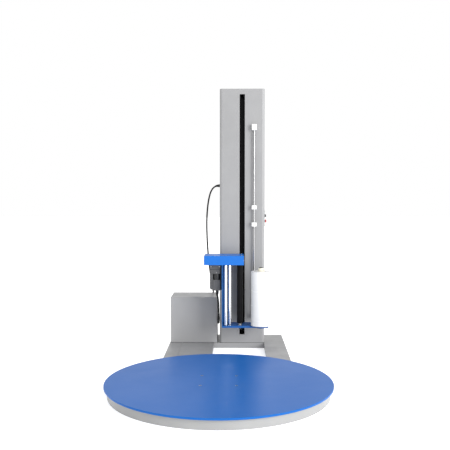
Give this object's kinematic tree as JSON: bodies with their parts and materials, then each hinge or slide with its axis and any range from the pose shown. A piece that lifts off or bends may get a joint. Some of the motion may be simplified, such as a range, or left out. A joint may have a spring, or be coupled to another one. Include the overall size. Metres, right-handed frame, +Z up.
{
  "type": "turntable pallet wrapper",
  "caption": "Stretch-film pallet wrapping machine: round turntable on a low base, slotted mast with a lifting film carriage, drive box and hanging control cable.",
  "frame": {"origin": "on the floor, on the turntable's axis of rotation", "axes": "+Z up, +Y from the turntable to the mast, +X to the right when facing the mast"},
  "size_m": [1.6498, 2.6219, 2.437],
  "materials": {
    "blue_paint": "semi-gloss powder coat",
    "grey_paint": "semi-gloss powder coat",
    "dark_paint": "satin black paint",
    "motor_grey": "satin grey paint",
    "bare_steel": "machined, lightly oiled",
    "chrome_roller": "polished chrome plate",
    "black_rubber": "matt rubber",
    "wheel_nylon": "machined nylon",
    "white_plastic": "white moulded plastic",
    "cream_plastic": "cream moulded plastic",
    "card": "spiral wound card",
    "stretch_film": "glossy stretch film",
    "black_plastic": "satin black plastic",
    "cable_sheath": "smooth rubber sheath",
    "red_plastic": "glossy moulded plastic"
  },
  "bodies": {
    "base": {"base_plate": "dark_paint", "base_skirt": "grey_paint", "centre_post": "bare_steel", "centre_bearing": "bare_steel", "wheel_brackets": "dark_paint", "left_leg": "grey_paint", "chain_cover": "grey_paint", "right_leg": "grey_paint", "crossbar": "grey_paint", "drive_box_cover": "grey_paint", "drive_gearmotor": "dark_paint", "drive_chain": "bare_steel", "mast_column": "grey_paint", "mast_rear_cover": "grey_paint", "mast_cap": "grey_paint", "guide_rails": "dark_paint", "cover_screws": "bare_steel", "lift_belt": "black_rubber", "lift_gearmotor": "dark_paint", "idler_bracket": "grey_paint", "control_panel": "grey_paint", "stop_rod": "white_plastic", "rod_brackets": "white_plastic", "mast_gland": "black_plastic", "festoon_cable": "cable_sheath"},
    "turntable": {"turntable_plate": "blue_paint", "turntable_hub": "dark_paint", "turntable_screws": "bare_steel", "table_sprocket": "bare_steel"},
    "support_wheel_1": {"support_wheel_1": "wheel_nylon"},
    "support_wheel_2": {"support_wheel_2": "wheel_nylon"},
    "support_wheel_3": {"support_wheel_3": "wheel_nylon"},
    "support_wheel_4": {"support_wheel_4": "wheel_nylon"},
    "drive_sprocket": {"drive_sprocket": "bare_steel"},
    "lift_drive_pulley": {"lift_drive_pulley": "bare_steel"},
    "lift_idler_pulley": {"lift_idler_pulley": "bare_steel"},
    "carriage": {"trolley": "dark_paint", "carriage_arm": "dark_paint", "head_plate": "blue_paint", "head_cover": "blue_paint", "floor_plate": "blue_paint", "side_plate": "blue_paint", "roller_bearings": "bare_steel", "carriage_motor": "motor_grey", "motor_gland": "black_plastic", "film_spindle": "cream_plastic"},
    "lower_wheel_set": {"lower_wheel_set": "wheel_nylon"},
    "upper_wheel_set": {"upper_wheel_set": "wheel_nylon"},
    "front_roller": {"front_roller": "chrome_roller", "front_roller_gear": "bare_steel"},
    "rear_roller": {"rear_roller": "chrome_roller", "rear_roller_gear": "bare_steel"},
    "guide_roller": {"guide_roller": "black_rubber"},
    "motor_gear": {"motor_gear": "bare_steel"},
    "film": {"film_core": "card", "film_roll": "stretch_film"},
    "stop_button": {"stop_button": "red_plastic"},
    "selector_knob": {"selector_knob": "black_plastic"},
    "upper_stop_clamp": {"upper_stop_clamp": "white_plastic"},
    "lower_stop_clamp": {"lower_stop_clamp": "white_plastic"}
  },
  "joints": [
    {"name": "turntable_spin", "type": "hinge", "parent": "base", "child": "turntable", "pos_m": [0, 0, 0.068], "axis": [0, 0, 1], "continuous": true},
    {"name": "support_wheel_1_spin", "type": "hinge", "parent": "base", "child": "support_wheel_1", "pos_m": [0.45255, 0.45255, 0.0427], "axis": [0.7071, 0.7071, 0], "continuous": true},
    {"name": "support_wheel_2_spin", "type": "hinge", "parent": "base", "child": "support_wheel_2", "pos_m": [-0.45255, 0.45255, 0.0427], "axis": [-0.7071, 0.7071, 0], "continuous": true},
    {"name": "support_wheel_3_spin", "type": "hinge", "parent": "base", "child": "support_wheel_3", "pos_m": [-0.45255, -0.45255, 0.0427], "axis": [-0.7071, -0.7071, 0], "continuous": true},
    {"name": "support_wheel_4_spin", "type": "hinge", "parent": "base", "child": "support_wheel_4", "pos_m": [0.45255, -0.45255, 0.0427], "axis": [0.7071, -0.7071, 0], "continuous": true},
    {"name": "drive_sprocket_spin", "type": "hinge", "parent": "base", "child": "drive_sprocket", "pos_m": [-0.338, 1.56, 0.03], "axis": [0, 0, 1], "continuous": true},
    {"name": "carriage_lift", "type": "slide", "parent": "base", "child": "carriage", "axis": [0, 0, 1], "range_m": [0, 1.45], "deforming": ["festoon_cable"]},
    {"name": "lift_drive_pulley_spin", "type": "hinge", "parent": "base", "child": "lift_drive_pulley", "pos_m": [0.195, 1.485, 0.19], "axis": [1, 0, 0], "range_deg": [-1812, 0]},
    {"name": "lift_idler_pulley_spin", "type": "hinge", "parent": "base", "child": "lift_idler_pulley", "pos_m": [0.195, 1.485, 2.33], "axis": [1, 0, 0], "range_deg": [-1812, 0]},
    {"name": "lower_wheel_set_spin", "type": "hinge", "parent": "carriage", "child": "lower_wheel_set", "pos_m": [0.1895, 1.49, 0.34], "axis": [1, 0, 0], "range_deg": [-3329, 0]},
    {"name": "upper_wheel_set_spin", "type": "hinge", "parent": "carriage", "child": "upper_wheel_set", "pos_m": [0.1895, 1.49, 0.74], "axis": [1, 0, 0], "range_deg": [0, 3329]},
    {"name": "rear_roller_spin", "type": "hinge", "parent": "carriage", "child": "rear_roller", "pos_m": [0.0725, 1.17953, 0.545], "axis": [0, 0, 1], "continuous": true},
    {"name": "front_roller_spin", "type": "hinge", "parent": "carriage", "child": "front_roller", "pos_m": [0.039, 1.125, 0.545], "axis": [0, 0, 1], "continuous": true},
    {"name": "motor_gear_spin", "type": "hinge", "parent": "carriage", "child": "motor_gear", "pos_m": [-0.0435, 1.17953, 0.84], "axis": [0, 0, 1], "continuous": true},
    {"name": "guide_roller_spin", "type": "hinge", "parent": "carriage", "child": "guide_roller", "pos_m": [0.1665, 1.161, 0.545], "axis": [0, 0, 1], "continuous": true},
    {"name": "film_spin", "type": "hinge", "parent": "carriage", "child": "film", "pos_m": [0.354, 1.122, 0.52], "axis": [0, 0, 1], "continuous": true},
    {"name": "stop_button_press", "type": "slide", "parent": "base", "child": "stop_button", "axis": [-1, 0, 0], "range_m": [0, 0.004], "stiffness_N_per_m": 2000},
    {"name": "selector_turn", "type": "hinge", "parent": "base", "child": "selector_knob", "pos_m": [0.41, 1.5, 1.25], "axis": [1, 0, 0], "range_deg": [-45, 45]},
    {"name": "upper_stop_clamp_slide", "type": "slide", "parent": "base", "child": "upper_stop_clamp", "axis": [0, 0, 1], "range_m": [-0.05, 0.6]},
    {"name": "lower_stop_clamp_slide", "type": "slide", "parent": "base", "child": "lower_stop_clamp", "axis": [0, 0, 1], "range_m": [-0.6, 0.05]}
  ],
  "couplings": [
    {"joint": "support_wheel_1_spin", "follows": "turntable_spin", "ratio": -25.6},
    {"joint": "support_wheel_2_spin", "follows": "turntable_spin", "ratio": -25.6},
    {"joint": "support_wheel_3_spin", "follows": "turntable_spin", "ratio": -25.6},
    {"joint": "support_wheel_4_spin", "follows": "turntable_spin", "ratio": -25.6},
    {"joint": "drive_sprocket_spin", "follows": "turntable_spin", "ratio": 2.7},
    {"joint": "lift_drive_pulley_spin", "follows": "carriage_lift", "rad_per_m": -21.739},
    {"joint": "lift_idler_pulley_spin", "follows": "carriage_lift", "rad_per_m": -21.739},
    {"joint": "lower_wheel_set_spin", "follows": "carriage_lift", "rad_per_m": -40},
    {"joint": "upper_wheel_set_spin", "follows": "carriage_lift", "rad_per_m": 40},
    {"joint": "front_roller_spin", "follows": "rear_roller_spin", "ratio": -3.5714},
    {"joint": "motor_gear_spin", "follows": "rear_roller_spin", "ratio": -0.75758}
  ]
}
